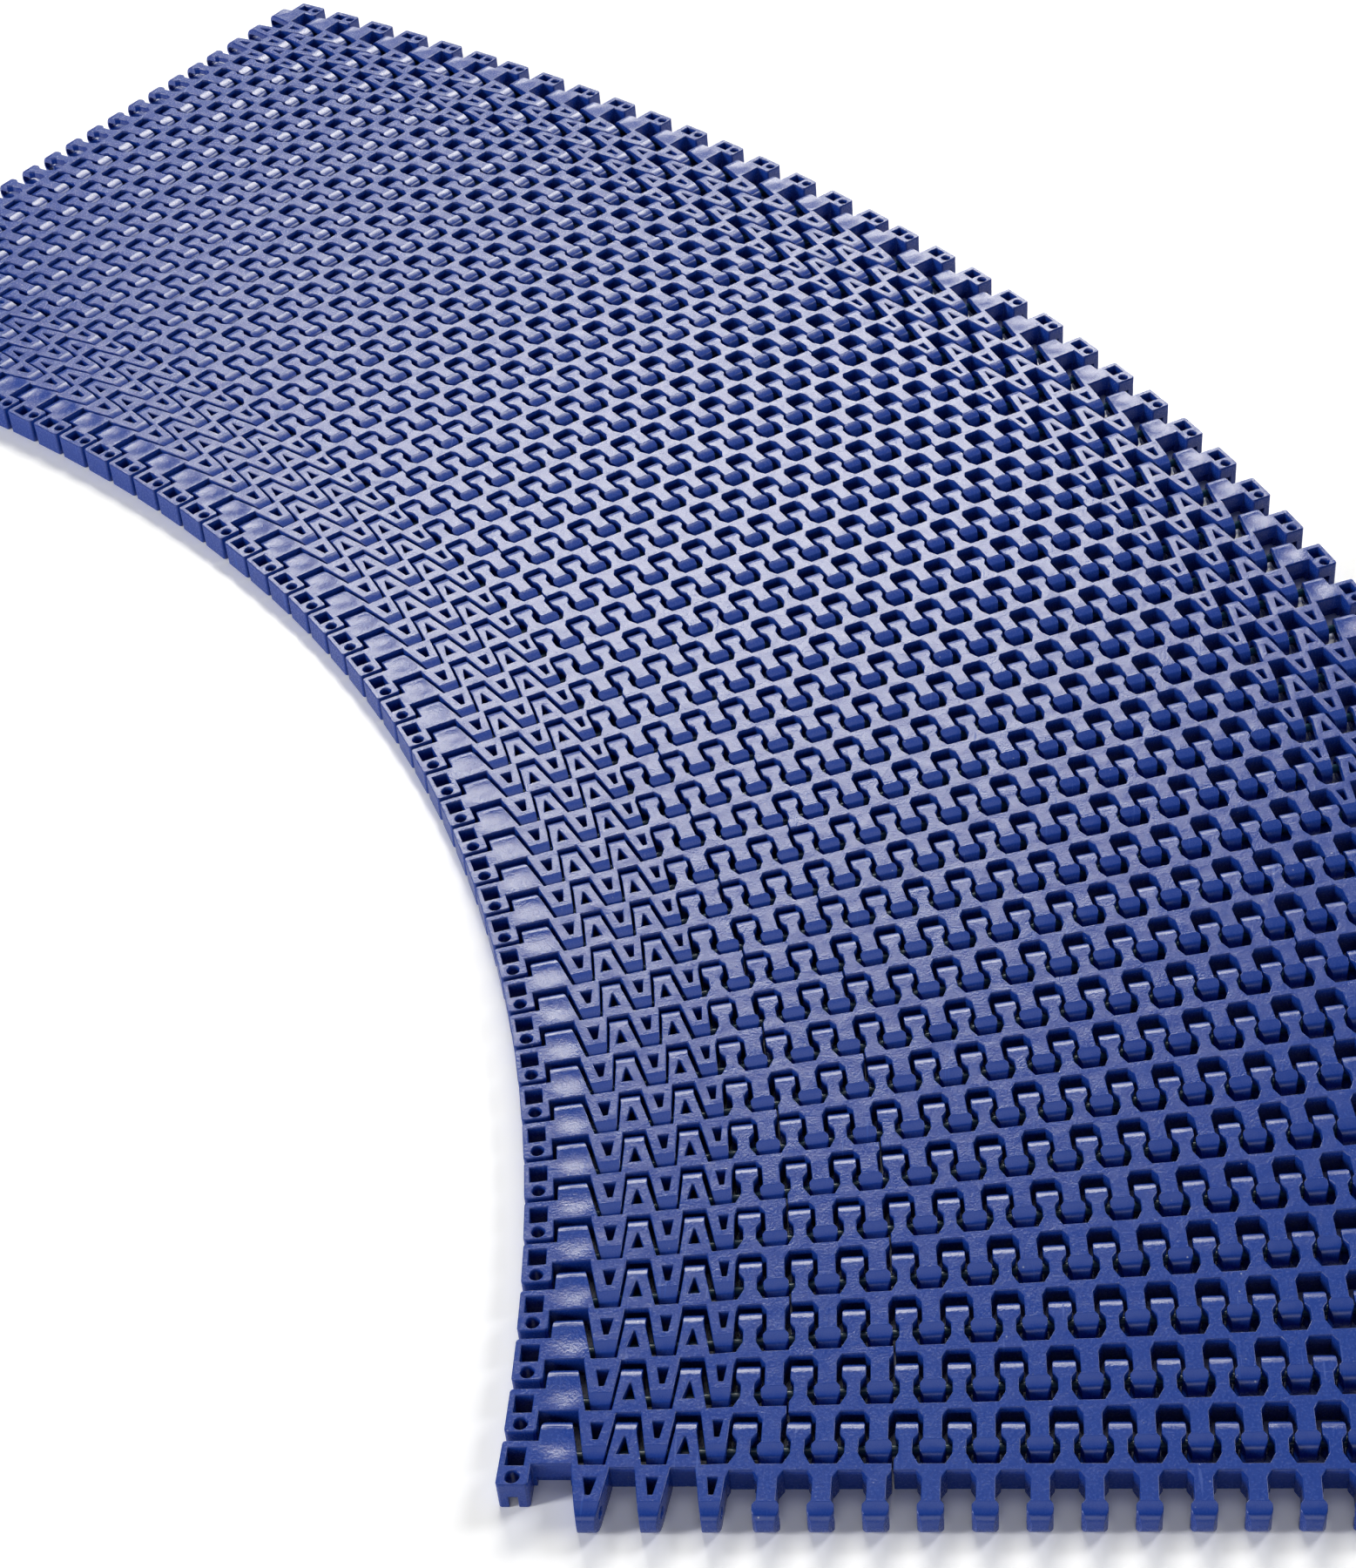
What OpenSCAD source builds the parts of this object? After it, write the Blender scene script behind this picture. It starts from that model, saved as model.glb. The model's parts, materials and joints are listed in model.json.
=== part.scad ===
// Side-flexing modular plastic belt, lying flat in a left-hand curve.
// Every row is three moulded modules on one hinge pin. The pin sits in the round bores of the
// row's front knuckles and slides in the long slots of the rear knuckles of the row ahead of it,
// so the rows close up on the inner edge and spread on the outer edge.
// In a row, X runs from the inner edge to the outer edge and Y runs back to the next row.
// The origin is the vertical hole of the first row's inner edge block, on the belt's underside.

/* [Belt curve] */
// Number of rows
rows = 47; // [3:1:47]
// Pitch at the first hammer-head knuckles, where the belt is closed up
closed_pitch = 17.5; // [17.2:0.05:20]
// Pitch at the outer edge holes, where the belt is drawn out
outer_pitch = 25.3; // [22:0.05:25.3]
// Pitch at the inner edge holes over the slack lines at the front
slack_pitch = 17.1; // [16:0.05:20]
// Number of slack hinge lines at the front
slack_lines = 4; // [0:1:10]
// Hinge line after which the outer edge closes up little by little
easing_line = 30; // [1:1:46]
// Loss of outer pitch for each hinge line after that one
easing_step = 0.2; // [0:0.01:0.25]
// Outer pitch at the two bunched hinge lines
bunched_pitch = 20.8; // [19:0.05:25.3]
// First bunched hinge line
bunched_line_a = 30; // [1:1:46]
// Second bunched hinge line
bunched_line_b = 41; // [1:1:46]

/* [Row] */
// Thickness of the belt
belt_t = 10.5; // [10:0.1:11.5]
// Pitch of the knuckles along a row
knuckle_pitch = 14.97; // [14.6:0.01:18]
// Number of hammer-head knuckles along the rear of a row
hammers = 16; // [10:1:16]
// Distance from an edge hole to the nearest hammer-head knuckle
edge_run = 62.4; // [62:0.1:66]
// Distance from the edge holes forward to the hinge pin
front_reach = 7.8; // [7.6:0.05:8.5]
// Distance from the edge holes back to the centre of the rear knuckle ends
rear_reach = 14.7; // [14.6:0.05:15]
// Thickness of the top plate between the knuckles
plate_t = 2.3; // [1.8:0.1:2.6]
// Extra depth of the pockets and edge openings below the top plate
undercut = 0.9; // [0.7:0.05:1]
// Clear space at the end of a knuckle where the belt is closed up
tip_clearance = 0.45; // [0.3:0.05:0.6]
// Clear gap between two modules of a row
seam_gap = 0.6; // [0.3:0.05:1]

/* [Hinge pin] */
// Diameter of the hinge pin
pin_d = 3.2; // [2.6:0.05:3.3]
// Radial clearance of the pin in the front bores
bore_clearance = 0.1; // [0.05:0.01:0.3]
// Clearance above and below the pin in the rear slots
slot_clearance = 0.15; // [0.1:0.01:0.3]
// Distance from the edge holes back to the front end of the pin's travel in the slots
slot_front = 7.5; // [7:0.05:7.6]
// Distance from the edge holes back to the rear end of the pin's travel in the slots
slot_rear = 17.3; // [17.2:0.05:17.5]
// Clear space at each end of the pin in the edge slots
pin_end_clearance = 0.3; // [0.2:0.05:1]

/* [Front knuckles] */
// Width of the neck of a front knuckle
front_neck_w = 5.3; // [4.6:0.1:5.8]
// Width of the head of a front knuckle
front_head_w = 7.4; // [6.6:0.1:7.6]
// Width of the tip of a front knuckle
front_tip_w = 4.8; // [4:0.1:5.4]
// Distance from the edge holes forward to the end of the neck
front_neck_y = 7.4; // [6:0.1:7.6]
// Length of the taper from neck to head
front_flare = 1.1; // [0.6:0.1:1.6]
// Length of the straight sides of the head
front_head_l = 1.7; // [1:0.1:2.5]
// Length of the flare at the foot of the neck
front_foot = 2.3; // [1:0.1:2.6]
// Slope of the flat facet from the top plate down to the round nose
nose_slope = 20; // [5:1:30]

/* [Rear knuckles] */
// Width of the neck of a hammer-head knuckle
rear_neck_w = 3.8; // [3.2:0.1:4.6]
// Width of the head of a hammer-head knuckle
rear_head_w = 6.8; // [6:0.1:7]
// Width of the tip of a hammer-head knuckle
rear_tip_w = 5.2; // [4.4:0.1:5.6]
// Distance from the edge holes back to the start of the neck
rear_neck_start = 7.5; // [6:0.1:8]
// Distance from the edge holes back to the end of the neck
rear_neck_end = 11.8; // [10.5:0.1:12.5]
// Length of the taper from neck to head
rear_flare = 2.0; // [1:0.1:2.4]
// Length of the taper from head to tip
rear_tip_l = 2.6; // [1.5:0.1:3.5]
// Width of the floor of a pocket that takes a hammer head
pocket_w = 6.6; // [6.2:0.1:7]
// Width of the edge of an opening that takes a front knuckle
opening_w = 7.4; // [6.8:0.1:7.8]

/* [Edge knuckles] */
// Centres of the tips of the three windowed front knuckles, from the edge hole
wedge_tip_xs = [21.3, 38.3, 54.85]; // each within 1 mm
// Widths of their tips
wedge_tip_ws = [6.2, 5.8, 5.5]; // [4.5:0.1:6.2] each
// Centres of their feet
wedge_foot_xs = [20.95, 38.0, 54.0]; // each within 1 mm
// Widths of their feet
wedge_foot_ws = [10.5, 9.8, 8.4]; // [7:0.1:10.5] each
// Widths of their windows
wedge_window_ws = [3.8, 3.4, 3.0]; // [2:0.1:4.2] each
// Width of the narrow end of the front windows
wedge_window_tip = 1.4; // [0.4:0.1:1.8]
// Distance from the edge holes forward to the wide end of the front windows
wedge_window_y = 0.1; // [-0.4:0.05:0.5]
// Length of the front windows
wedge_window_l = 5.6; // [4:0.1:5.7]
// Loss of width from the sides of a windowed front knuckle to the end of its nose
wedge_nose_taper = 1.3; // [0:0.1:2]
// Centres of the tips of the two windowed rear knuckles, from the edge hole
prong_tip_xs = [29.25, 46.0]; // each within 1 mm
// Widths of their tips
prong_tip_ws = [6.1, 6.0]; // [5:0.1:6.1] each
// Centres of their feet
prong_foot_xs = [29.9, 46.5]; // each within 1 mm
// Widths of their feet
prong_foot_ws = [10.0, 9.6]; // [8:0.1:10] each
// Widths of their windows
prong_window_ws = [3.8, 3.7]; // [2:0.1:4] each
// Width of the narrow end of the rear windows
prong_window_tip = 0.5; // [0.3:0.1:1.5]
// Distance from the edge holes back to the wide end of the rear windows
prong_window_y = 7.2; // [6.6:0.1:8]
// Length of the rear windows
prong_window_l = 5.7; // [4:0.1:6]

/* [Edge block] */
// Distance from the edge hole out to the end face of the block
block_out = 4.3; // [3.6:0.1:5]
// Distance from the edge hole in to the inner face of the block
block_in = 4.5; // [4:0.1:4.8]
// Distance from the edge hole forward to the front face of the block
block_front = 2.6; // [2.4:0.05:3]
// Distance from the edge hole back to the rear face of the block
block_rear = 11.5; // [10.5:0.1:12]
// Radius of the upright corners of the block
block_corner_r = 1; // [0.3:0.1:1.5]
// Diameter of the edge hole
edge_hole_d = 4.1; // [3:0.1:4.4]
// Width of the square hole behind it
square_hole_w = 5.3; // [4:0.1:5.6]
// Length of the square hole
square_hole_l = 5.8; // [4:0.1:6]
// Distance from the edge hole back to the centre of the square hole
square_hole_y = 6.5; // [6:0.1:7]
// Width of the notch under the front face of the block
notch_w = 2.6; // [1:0.1:3.4]
// Height of the notch
notch_h = 4.7; // [2:0.1:6]

/* [Edge wing] */
// Distance from the edge hole to the outer side of the wing
wing_x = 5.6; // [5.4:0.1:6]
// Width of the wing at its foot
wing_foot_w = 12; // [11:0.1:12.1]
// Width of the wing at its tip
wing_tip_w = 8.1; // [7:0.1:9]
// Distance from the edge holes back to the tip of the wing
wing_y = 19.6; // [19.4:0.05:19.9]
// Radius of the outer corner of the wing
wing_r = 3; // [1:0.1:3.2]
// Thickness of the wing's outer wall, which closes the slot
wing_wall = 1.5; // [1:0.1:2]
// Height of the hollow under the front of the wing
wing_hollow_h = 4.1; // [2:0.1:5]
// Length of the hollow under the front of the wing
wing_hollow_l = 1.8; // [1:0.1:1.9]

/* [Detail] */
// Rows at the front that have shaped knuckles, windows and undercuts
detailed_rows = 4; // [1:1:8]
// Rows at the front that have bores, slots and hinge pins; the rows behind them are left solid
pinned_rows = 23; // [4:1:47]
// Distance from the edge holes forward to where a plain row's windowed knuckles start to widen
plain_wedge_y = 5.8; // [5:0.1:6]

/* [Hidden] */
hole_span = 2 * edge_run + (hammers - 1) * knuckle_pitch;
pin_z = belt_t / 2;
pin_r = pin_d / 2;
bore_r = pin_r + bore_clearance;
slot_r = pin_r + slot_clearance;
front_tip_y = front_reach + belt_t / 2;
rear_tip_y = rear_reach + belt_t / 2;
wedge_nose_y = front_neck_y + front_flare + front_head_l;
slot_x = wing_x + wing_wall;
pin_x = slot_x + pin_end_clearance;
under_t = belt_t - plate_t;
margin = 1;
round_fn = 48;
plastic = [0.16, 0.30, 0.66];
pin_blue = [0.20, 0.58, 0.78];

// Places of hammer-head knuckle i and of front knuckle j along the row
function hammer_x(i) = edge_run + i * knuckle_pitch;
function front_x(j) = hammer_x(j) + knuckle_pitch / 2;

// Pitch at distance x from the inner edge hole, for a given pitch at the outer edge holes
function pitch_at(x, outer) =
    closed_pitch + (outer - closed_pitch) * (x - edge_run) / (hole_span - edge_run);
// Floors of the pockets and edges of the openings, set by the knuckles that close up on them
pocket_y = rear_tip_y - closed_pitch + tip_clearance - undercut;
edge_pocket_y = rear_tip_y - pitch_at(prong_tip_xs[0], outer_pitch) + tip_clearance - undercut;
wing_front_y = wing_y - pitch_at(wing_x, outer_pitch) + tip_clearance;
opening_y = pitch_at(front_x(0), bunched_pitch) - front_tip_y - tip_clearance;
edge_opening_y = pitch_at(wedge_tip_xs[0], outer_pitch) - front_tip_y - tip_clearance + undercut;

// Modules are laid like bricks: long inner ends on odd rows, long outer ends on even rows
function inner_fronts(row) = row % 2 == 1 ? 3 : 1;
function outer_fronts(row) = row % 2 == 1 ? 0 : 2;
function seam_x(j) = front_x(j) + (knuckle_pitch - pocket_w) / 2;
function inner_seam(row) = seam_x(inner_fronts(row) - 1);
function outer_seam(row) = seam_x(hammers - 2 - outer_fronts(row));

// Pitch of hinge line k, between rows k and k + 1, at each edge, and the turn across it
function is_bunched(k) = k == bunched_line_a || k == bunched_line_b;
function outer_at(k) = is_bunched(k) ? bunched_pitch : outer_pitch - easing_step * max(0, k - easing_line);
function inner_at(k) = k <= slack_lines ? slack_pitch : pitch_at(0, outer_at(k));
function turn_at(k) = (outer_at(k) - inner_at(k)) / hole_span * 180 / PI;

// Angle of each row, and the place of its inner edge hole
angles = [for (k = 1, a = 0; k <= rows; a = a + turn_at(k), k = k + 1) a];
function heading(k) = angles[k - 1] + turn_at(k) / 2;
function step_at(k) = inner_at(k) * [-sin(heading(k)), cos(heading(k))];
places = [for (k = 1, p = [0, 0]; k <= rows; p = p + step_at(k), k = k + 1) p];

// The first rows come apart into their pieces. The front row's bores are empty.
split_rows = 4;
pieces = ["inner_module", "centre_module", "outer_module", "hinge_pin"];
function row_name(k) = str(k < 10 ? "row_0" : "row_", k);

// Outline of a plain knuckle of width w, from its foot at y0 round its tip at y1
function plain_knuckle(x, w, y0, y1) = [[x - w / 2, y0], [x - w / 2, y1], [x + w / 2, y1], [x + w / 2, y0]];

// Outline of a front knuckle, from the left end of its foot round to the right end
function front_knuckle(x, plain) =
    plain ? plain_knuckle(x, front_neck_w, pocket_y + undercut, -front_tip_y) :
    let (neck = front_neck_w / 2, head = front_head_w / 2, tip = front_tip_w / 2,
         foot_y = pocket_y - front_foot, y1 = front_neck_y, y2 = y1 + front_flare, y3 = y2 + front_head_l)
    [[x - neck, foot_y], [x - neck, -y1], [x - head, -y2], [x - head, -y3], [x - tip, -front_tip_y],
     [x + tip, -front_tip_y], [x + head, -y3], [x + head, -y2], [x + neck, -y1], [x + neck, foot_y]];

// Outline of a hammer-head knuckle, from the right end of its foot round to the left end
function hammer(x, plain) =
    plain ? plain_knuckle(x, -rear_head_w, opening_y, rear_tip_y) :
    let (foot = (knuckle_pitch - opening_w) / 2, neck = rear_neck_w / 2, head = rear_head_w / 2,
         tip = rear_tip_w / 2, y2 = rear_neck_end + rear_flare, y3 = rear_tip_y - rear_tip_l)
    [[x + foot, opening_y], [x + neck, rear_neck_start], [x + neck, rear_neck_end], [x + head, y2],
     [x + head, y3], [x + tip, rear_tip_y], [x - tip, rear_tip_y], [x - head, y3], [x - head, y2],
     [x - neck, rear_neck_end], [x - neck, rear_neck_start], [x - foot, opening_y]];

// Floor of the pocket ahead of hammer i
function pocket(i) = [[hammer_x(i) - pocket_w / 2, pocket_y], [hammer_x(i) + pocket_w / 2, pocket_y]];

// The row between hammers i0 and i1, both included
module middle_outline(i0, i1, plain) {
    front = [for (i = [i0:i1])
        each concat(plain ? [] : pocket(i), i < i1 ? front_knuckle(front_x(i), plain) : [])];
    rear = [for (i = [i1:-1:i0]) each hammer(hammer_x(i), plain)];
    left = hammer_x(i0) - pocket_w / 2;
    right = hammer_x(i1) + pocket_w / 2;
    floor_y = pocket_y + undercut;
    polygon(concat(plain ? [[left, floor_y]] : [], front, plain ? [[right, floor_y]] : [], rear));
}

// Outline of windowed front knuckle i, from the left end of its foot round to the right end
function wedge(i, plain) =
    let (foot = wedge_foot_ws[i] / 2, side = wedge_tip_ws[i] / 2,
         x0 = wedge_foot_xs[i], x1 = wedge_tip_xs[i], tip = side - (plain ? 0 : wedge_nose_taper / 2),
         y0 = edge_pocket_y + (plain ? undercut : 0), y1 = plain ? plain_wedge_y : wedge_nose_y)
    [[x0 - foot, y0], [x1 - side, -y1], [x1 - tip, -front_tip_y],
     [x1 + tip, -front_tip_y], [x1 + side, -y1], [x0 + foot, y0]];

// Outline of windowed rear knuckle i, from the right end of its foot round to the left end
function prong(i, plain) =
    let (foot = prong_foot_ws[i] / 2, tip = prong_tip_ws[i] / 2,
         x0 = prong_foot_xs[i], x1 = prong_tip_xs[i], y0 = edge_opening_y - (plain ? undercut : 0))
    [[x0 + foot, y0], [x1 + tip, rear_reach], [x1 + tip, rear_tip_y],
     [x1 - tip, rear_tip_y], [x1 - tip, rear_reach], [x0 - foot, y0]];

// Tapering window, w wide at y and tip wide at y + l
module window(x, w, tip, y, l) {
    polygon([[x - w / 2, y], [x + w / 2, y], [x + tip / 2, y + l], [x - tip / 2, y + l]]);
}

// The edge of a row, from the wing to the first hammer
module edge_outline(plain) {
    wedge_left = wedge_foot_xs[0] - wedge_foot_ws[0] / 2;
    wedge_right = wedge_foot_xs[2] + wedge_foot_ws[2] / 2;
    hammer_foot = hammer_x(0) - (knuckle_pitch - opening_w) / 2;
    floor_y = pocket_y + (plain ? undercut : 0);
    mouth_y = edge_opening_y - (plain ? undercut : 0);
    front = concat(
        [[block_in - margin, wing_front_y], [wedge_left, wing_front_y]],
        wedge(0, plain), wedge(1, plain),
        [for (p = wedge(2, plain)) if (p[0] < wedge_tip_xs[2] || p[1] < 0) p],
        [[wedge_right, pocket_y - front_foot], [hammer_x(0) - pocket_w / 2, floor_y],
         [hammer_x(0), floor_y]]
    );
    rear = concat(
        [[hammer_x(0), opening_y], [hammer_foot, opening_y]], prong(1, plain), prong(0, plain),
        [[wing_x + wing_foot_w, mouth_y], [wing_x + wing_tip_w, plain ? rear_reach : wing_y],
         [wing_x + wing_tip_w, wing_y], [wing_x + (plain ? 0 : wing_r), wing_y],
         [wing_x, wing_y - (plain ? 0 : wing_r)], [wing_x, block_rear], [block_in - margin, block_rear]]
    );
    difference() {
        union() {
            polygon(concat(front, rear));
            if (!plain)
                translate([wing_x + wing_r, wing_y - wing_r])
                    circle(r = wing_r, $fn = round_fn);
        }
        if (!plain) {
            for (i = [0:2])
                window(wedge_tip_xs[i], wedge_window_ws[i], wedge_window_tip,
                       -wedge_window_y, -wedge_window_l);
            for (i = [0:1])
                window(prong_tip_xs[i], prong_window_ws[i], prong_window_tip,
                       prong_window_y, prong_window_l);
        }
    }
}

// The block at the end of a row, with its round and square holes
module block_outline(plain) {
    low = [-block_out, -block_front];
    high = [block_in, block_rear];
    difference() {
        if (plain) {
            translate(low)
                square(high - low);
        }
        else {
            translate(low + [block_corner_r, 0])
                square(high - low - [2 * block_corner_r, 0]);
            translate(low + [0, block_corner_r])
                square(high - low - [0, 2 * block_corner_r]);
            for (x = [low[0] + block_corner_r, high[0] - block_corner_r])
                for (y = [low[1] + block_corner_r, high[1] - block_corner_r])
                    translate([x, y])
                        circle(r = block_corner_r, $fn = round_fn);
        }
        circle(d = edge_hole_d, $fn = round_fn);
        translate([0, square_hole_y])
            square([square_hole_w, square_hole_l], center = true);
    }
}

// Hollows under the top plate of an edge, where the closed-up knuckles reach furthest
module edge_undercuts() {
    pocket_top = edge_pocket_y + undercut;
    opening_low = edge_opening_y - undercut;
    gaps = [for (i = [0:1]) [wedge(i)[5][0], wedge(i + 1)[0][0]]];
    mouths = [[wing_x + wing_foot_w, prong(0)[5][0]], [prong(0)[0][0], prong(1)[5][0]],
              [prong(1)[0][0], hammer_x(0) - (knuckle_pitch - opening_w) / 2]];
    for (g = gaps)
        translate([g[0], pocket_top - undercut - margin])
            square([g[1] - g[0], undercut + margin]);
    for (m = mouths)
        translate([m[0], opening_low])
            square([m[1] - m[0], undercut + margin]);
}

// Hollows under the top plate ahead of hammers i0 to i1
module middle_undercuts(i0, i1) {
    for (i = [i0:i1])
        translate([hammer_x(i) - pocket_w / 2, pocket_y - margin])
            square([pocket_w, undercut + margin]);
}

// The other edge of a row is its mirror image
module mirror_row() {
    translate([hole_span, 0, 0])
        mirror([1, 0, 0])
            children();
}

// Side view of a row: flat top and underside, round knuckle ends, and a flat facet over each nose,
// which the plain rows lack
module side_profile(plain) {
    difference() {
        union() {
            translate([-front_reach, 0])
                square([front_reach + rear_reach, belt_t]);
            for (y = [-front_reach, rear_reach])
                translate([y, pin_z])
                    circle(r = belt_t / 2, $fn = round_fn);
        }
        if (!plain)
            translate([-front_reach, belt_t])
                rotate(nose_slope)
                    translate([-belt_t, 0])
                        square(belt_t);
    }
}

// Slot in which the pin of the next row slides, square-ended in the plain rows
module slot_profile(plain) {
    reach = plain ? slot_r : 0;
    translate([slot_front - reach, pin_z - slot_r])
        square([slot_rear - slot_front + 2 * reach, 2 * slot_r]);
    if (!plain)
        for (y = [slot_front, slot_rear])
            translate([y, pin_z])
                circle(r = slot_r, $fn = round_fn);
}

// Sweeps a side view along the row from x0 to x1
module along_row(x0, x1) {
    translate([x0, 0, 0])
        rotate([90, 0, 90])
            linear_extrude(x1 - x0)
                children();
}

// Moulded module from x0 to x1: the first child is its outline, the second its hollows
module moulding(row, x0, x1) {
    plain = row > detailed_rows;
    difference() {
        intersection() {
            linear_extrude(belt_t)
                intersection() {
                    children(0);
                    translate([x0, -front_tip_y - margin])
                        square([x1 - x0, front_tip_y + rear_tip_y + 2 * margin]);
                }
            along_row(x0 - margin, x1 + margin)
                side_profile(plain);
        }
        if (!plain)
            translate([0, 0, -margin])
                linear_extrude(under_t + margin)
                    children(1);
        if (row <= pinned_rows) {
            along_row(x0 - margin, x1 + margin)
                translate([-front_reach, pin_z])
                    circle(r = bore_r, $fn = round_fn);
            along_row(max(x0 - margin, slot_x), min(x1 + margin, hole_span - slot_x))
                slot_profile(plain);
        }
    }
}

// Notch under the front of the block and hollow under the front of the wing
module edge_hollows() {
    translate([-notch_w / 2, -block_front - margin, -margin])
        cube([notch_w, block_front + margin, notch_h + margin]);
    translate([block_in + margin, wing_front_y - margin, -margin])
        cube([wedge(0)[0][0] - block_in - 2 * margin, wing_hollow_l + margin, wing_hollow_h + margin]);
}

// Inner module of a row: the windowed edge and the first hammers
module inner_module(row) {
    fronts = inner_fronts(row);
    plain = row > detailed_rows;
    color(plastic)
        difference() {
            moulding(row, -block_out - margin, inner_seam(row) - seam_gap / 2) {
                union() {
                    block_outline(plain);
                    edge_outline(plain);
                    middle_outline(0, fronts, plain);
                }
                union() {
                    edge_undercuts();
                    middle_undercuts(0, fronts);
                }
            }
            if (!plain)
                edge_hollows();
        }
}

// Centre module of a row
module centre_module(row) {
    first = inner_fronts(row);
    last = hammers - 1 - outer_fronts(row);
    plain = row > detailed_rows;
    color(plastic)
        moulding(row, inner_seam(row) + seam_gap / 2, outer_seam(row) - seam_gap / 2) {
            middle_outline(first - 1, last, plain);
            middle_undercuts(first, last);
        }
}

// Outer module of a row: the last hammers and the mirrored windowed edge
module outer_module(row) {
    first = hammers - 1 - outer_fronts(row);
    plain = row > detailed_rows;
    color(plastic)
        difference() {
            moulding(row, outer_seam(row) + seam_gap / 2, hole_span + block_out + margin) {
                union() {
                    mirror_row() {
                        block_outline(plain);
                        edge_outline(plain);
                    }
                    middle_outline(first - 1, hammers - 1, plain);
                }
                union() {
                    mirror_row()
                        edge_undercuts();
                    middle_undercuts(first, hammers - 1);
                }
            }
            if (!plain)
                mirror_row()
                    edge_hollows();
        }
}

// Hinge pin through the front knuckles of a row
module hinge_pin() {
    color(pin_blue)
        along_row(pin_x, hole_span - pin_x)
            translate([-front_reach, pin_z])
                circle(r = pin_r, $fn = round_fn);
}

module in_row(k) {
    translate([places[k - 1][0], places[k - 1][1], 0])
        rotate([0, 0, angles[k - 1]])
            children();
}

module piece(k, n) {
    in_row(k) {
        if (n == 0) inner_module(k);
        if (n == 1) centre_module(k);
        if (n == 2) outer_module(k);
        if (n == 3 && k > 1 && k <= pinned_rows) hinge_pin();
    }
}

for (k = [1:min(rows, split_rows)])
    for (n = [0:3])
        piece(k, n);
for (k = [split_rows + 1:1:rows])
    union() {
        for (n = [0:3]) piece(k, n);
    }
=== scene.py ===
"""Side-flexing modular plastic belt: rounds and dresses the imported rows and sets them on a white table."""

import json
import math

import bpy
import numpy as np
from bpy.props import FloatProperty, FloatVectorProperty, IntProperty, PointerProperty
from bpy.types import Operator, Panel, PropertyGroup
from mathutils import Matrix, Quaternion, Vector


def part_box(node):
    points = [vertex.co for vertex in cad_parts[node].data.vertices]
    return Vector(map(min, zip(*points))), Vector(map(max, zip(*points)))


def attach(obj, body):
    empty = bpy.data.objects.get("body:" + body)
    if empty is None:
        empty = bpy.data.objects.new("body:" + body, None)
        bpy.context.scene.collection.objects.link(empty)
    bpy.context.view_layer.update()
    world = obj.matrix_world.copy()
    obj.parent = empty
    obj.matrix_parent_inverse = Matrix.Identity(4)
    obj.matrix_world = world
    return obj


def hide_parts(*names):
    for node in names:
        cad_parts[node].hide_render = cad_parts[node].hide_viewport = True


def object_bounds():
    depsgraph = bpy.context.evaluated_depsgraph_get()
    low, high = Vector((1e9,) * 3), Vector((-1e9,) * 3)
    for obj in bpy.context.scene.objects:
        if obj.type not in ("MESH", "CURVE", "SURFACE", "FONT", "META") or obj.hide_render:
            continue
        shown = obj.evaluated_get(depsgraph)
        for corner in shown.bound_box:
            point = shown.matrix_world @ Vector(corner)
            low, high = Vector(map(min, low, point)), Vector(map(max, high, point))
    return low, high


bl_info = {
    "name": "Modular Plastic Belt",
    "version": (1, 0, 0),
    "blender": (4, 5, 0),
    "location": "View3D > Sidebar > Belt",
    "description": "Dresses a side-flexing modular belt with rounded modules and hinge pins",
    "category": "Object",
}

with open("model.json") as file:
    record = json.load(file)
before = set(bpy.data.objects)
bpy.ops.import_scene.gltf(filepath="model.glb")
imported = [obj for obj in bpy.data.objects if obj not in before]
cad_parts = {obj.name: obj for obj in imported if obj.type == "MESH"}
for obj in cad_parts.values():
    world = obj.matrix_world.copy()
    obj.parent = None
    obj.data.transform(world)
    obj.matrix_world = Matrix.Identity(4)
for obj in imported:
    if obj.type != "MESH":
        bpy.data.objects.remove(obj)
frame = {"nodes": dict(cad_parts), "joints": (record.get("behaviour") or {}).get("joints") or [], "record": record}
cad_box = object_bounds()

MM = 0.001
BEHAVIOUR = frame["record"]["behaviour"]
MOUNTS = {mount["name"]: mount for mount in frame["record"]["mounts"]}
HOLE_SPAN = MOUNTS["outer_edge_hole"]["pos_m"][0] - MOUNTS["inner_edge_hole"]["pos_m"][0]
BELT_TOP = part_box("row_01_centre_module")[1].z
ROWS = 1 + sum(joint["name"].startswith("flex") for joint in frame["joints"])
SPLIT_ROWS = 4
ODD_PATTERN_ROW = 3
EVEN_PATTERN_ROW = 4

MERGE_GAP = 0.004 * MM
FLAT_TURN = math.radians(0.8)
FLAT_FACE_WEIGHT = 100
FLAT_FACE_MATCH = 0.01
PIN_END_STEPS = 2
PIN_END_CREASE = math.radians(60)
PIN_SMOOTH_TURN = math.radians(40)

TOP_BAND = (BELT_TOP - 0.25 * MM, BELT_TOP - 0.05 * MM)
TOP_FACING = (0.96, 0.995)
SPECKLE_BAND = (0.45, 0.65)
SATIN_BAND = (0.3, 0.7)
MOTTLE_BAND = (0.35, 0.65)
# Pointiness band of the paler convex edges: partly rubbed wear, partly a painted highlight along the edges.
RUBBED_EDGE_HIGHLIGHT_BAND = (0.52, 0.60)
SCUFF_BAND = (0.68, 0.74)
SCUFF_PATCH_BAND = (0.52, 0.62)
DUST_BAND = (0.09, 0.05)
DUST_PATCH_BAND = (0.56, 0.66)
WAVES_PER_METRE = 160.0
MOTTLES_PER_METRE = 14.0
SCUFFS_PER_METRE = (900, 60, 60)
SCUFF_TURN = (0.3, 0.2, 0.9)
PATCHES_PER_METRE = 45.0
SPECKS_PER_METRE = 260.0
TABLE_GRAINS_PER_METRE = 300.0
TABLE_SIDE = 8.0
CAMERA_CLIP = (0.01, 20)


# ---------------------------------------------------------------- settings


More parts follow.
